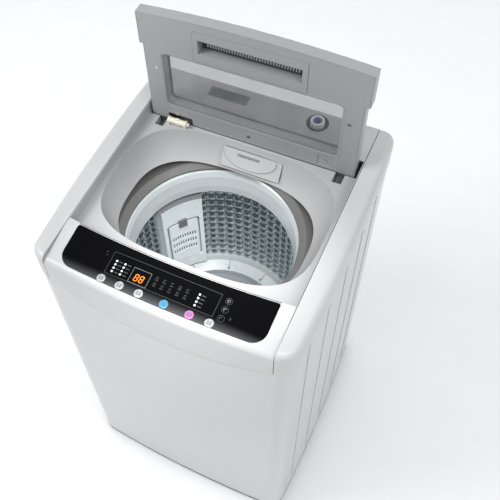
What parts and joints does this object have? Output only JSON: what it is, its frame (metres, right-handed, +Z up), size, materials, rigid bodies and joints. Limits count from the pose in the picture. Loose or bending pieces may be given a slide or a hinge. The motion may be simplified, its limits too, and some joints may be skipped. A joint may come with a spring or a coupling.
{
  "type": "top load washing machine",
  "caption": "Upright household top load washing machine with an open windowed lid, a front control panel and a spin drum hung in a tub.",
  "frame": {"origin": "centre of the footprint on the floor", "axes": "+X to the right seen from the front, +Y to the back, +Z up"},
  "size_m": [0.52, 0.524, 1.1353],
  "materials": {
    "cabinet_paint": "semi_gloss",
    "frame_plastic": "gloss",
    "recess_plastic": "satin",
    "panel_black": "gloss",
    "clear_pane": "clear",
    "stainless": "brushed",
    "zinc_steel": "brushed",
    "cast_alloy": "cast",
    "tub_plastic": "satin",
    "balance_grey": "satin",
    "drum_white": "gloss",
    "pulsator_plastic": "gloss",
    "filter_white": "gloss",
    "button_white": "gloss",
    "button_blue": "gloss",
    "button_pink": "gloss",
    "board_green": "satin",
    "damper_cream": "satin",
    "valve_white": "satin",
    "strainer_blue": "satin",
    "dark_plastic": "satin",
    "hose_grey": "matte",
    "belt_rubber": "matte",
    "foot_rubber": "matte",
    "motor_steel": "semi_gloss"
  },
  "bodies": {
    "cabinet": {"cabinet_wrap": "cabinet_paint", "rear_panel": "cabinet_paint", "rear_access_cover": "cabinet_paint", "base_frame": "dark_plastic", "fixed_feet": "foot_rubber", "corner_hangers": "zinc_steel", "side_rail_left": "frame_plastic", "side_rail_right": "frame_plastic", "control_fascia": "frame_plastic", "panel_overlay": "panel_black", "control_board": "board_green", "rear_deck": "frame_plastic", "tub_surround": "recess_plastic", "rear_gutter": "recess_plastic", "drawer_bay": "recess_plastic", "hinge_pins": "stainless", "lid_damper": "damper_cream", "inlet_valve": "valve_white", "inlet_filter": "strainer_blue", "pressure_switch": "dark_plastic", "cord_gland": "dark_plastic", "drain_outlet": "tub_plastic", "drain_hose": "hose_grey", "suspension_rods": "zinc_steel"},
    "leveling_foot": {"leveling_foot": "foot_rubber"},
    "lid": {"lid_outer_shell": "frame_plastic", "lid_inner_frame": "frame_plastic", "lid_window": "clear_pane", "lid_handle_insert": "frame_plastic", "lid_screws": "stainless", "lid_hinge_arms": "frame_plastic"},
    "drawer": {"detergent_drawer": "recess_plastic"},
    "tub": {"outer_tub": "tub_plastic", "tub_lugs": "tub_plastic", "tub_ring": "balance_grey", "tub_bracket": "zinc_steel", "gearbox_housing": "cast_alloy", "shaft_bearings": "stainless", "motor": "motor_steel", "drive_belt": "belt_rubber", "drain_valve": "tub_plastic", "drain_motor": "dark_plastic", "suspension_springs": "zinc_steel"},
    "drum": {"spin_shaft": "stainless", "drum_base": "drum_white", "drum_basket": "stainless", "balance_ring": "balance_grey", "lint_filter_frame": "filter_white"},
    "pulsator": {"pulsator": "pulsator_plastic", "wash_shaft": "stainless"},
    "pulley": {"drive_pulley": "cast_alloy"},
    "rotor": {"motor_rotor": "zinc_steel"},
    "plunger": {"drain_plunger": "dark_plastic"},
    "filter_cassette": {"lint_filter_cassette": "filter_white"},
    "button_power": {"button_power": "button_white"},
    "button_start": {"button_start": "button_white"},
    "button_program": {"button_program": "button_white"},
    "button_water": {"button_water": "button_blue"},
    "button_wash": {"button_wash": "button_pink"},
    "button_spin": {"button_spin": "button_white"}
  },
  "joints": [
    {"name": "lid_hinge", "type": "hinge", "parent": "cabinet", "child": "lid", "pos_m": [0, 0.1247, 0.8439], "axis": [1, 0, 0], "range_deg": [0, 90]},
    {"name": "drawer_slide", "type": "slide", "parent": "cabinet", "child": "drawer", "axis": [0, -1, 0], "range_m": [0, 0.03]},
    {"name": "foot_screw", "type": "slide", "parent": "cabinet", "child": "leveling_foot", "axis": [0, 0, 1], "range_m": [-0.01, 0]},
    {"name": "tub_bounce", "type": "slide", "parent": "cabinet", "child": "tub", "axis": [0, 0, 1], "range_m": [-0.02, 0], "stiffness_N_per_m": 20000, "springref_m": 0.02, "deforming": ["suspension_springs"]},
    {"name": "drum_spin", "type": "hinge", "parent": "tub", "child": "drum", "pos_m": [0, -0.033, 0.5], "axis": [0, 0, 1], "continuous": true},
    {"name": "pulsator_spin", "type": "hinge", "parent": "tub", "child": "pulsator", "pos_m": [0, -0.033, 0.4], "axis": [0, 0, 1], "continuous": true},
    {"name": "motor_spin", "type": "hinge", "parent": "tub", "child": "rotor", "pos_m": [0, 0.107, 0.2], "axis": [0, 0, 1], "continuous": true},
    {"name": "pulley_spin", "type": "hinge", "parent": "tub", "child": "pulley", "pos_m": [0, -0.033, 0.2], "axis": [0, 0, 1], "continuous": true},
    {"name": "drain_pull", "type": "slide", "parent": "tub", "child": "plunger", "axis": [0, 1, 0], "range_m": [0, 0.01], "stiffness_N_per_m": 400},
    {"name": "filter_tilt", "type": "hinge", "parent": "drum", "child": "filter_cassette", "pos_m": [-0.12487, 0.07177, 0.473], "axis": [0.6428, 0.766, 0], "range_deg": [0, 40]},
    {"name": "button_power_press", "type": "slide", "parent": "cabinet", "child": "button_power", "axis": [0, 0, -1], "range_m": [0, 0.0012], "stiffness_N_per_m": 800},
    {"name": "button_start_press", "type": "slide", "parent": "cabinet", "child": "button_start", "axis": [0, 0, -1], "range_m": [0, 0.0012], "stiffness_N_per_m": 800},
    {"name": "button_program_press", "type": "slide", "parent": "cabinet", "child": "button_program", "axis": [0, 0, -1], "range_m": [0, 0.0012], "stiffness_N_per_m": 800},
    {"name": "button_water_press", "type": "slide", "parent": "cabinet", "child": "button_water", "axis": [0, 0, -1], "range_m": [0, 0.0012], "stiffness_N_per_m": 800},
    {"name": "button_wash_press", "type": "slide", "parent": "cabinet", "child": "button_wash", "axis": [0, 0, -1], "range_m": [0, 0.0012], "stiffness_N_per_m": 800},
    {"name": "button_spin_press", "type": "slide", "parent": "cabinet", "child": "button_spin", "axis": [0, 0, -1], "range_m": [0, 0.0012], "stiffness_N_per_m": 800}
  ],
  "couplings": [
    {"joint": "pulley_spin", "follows": "motor_spin", "ratio": 0.2295}
  ]
}
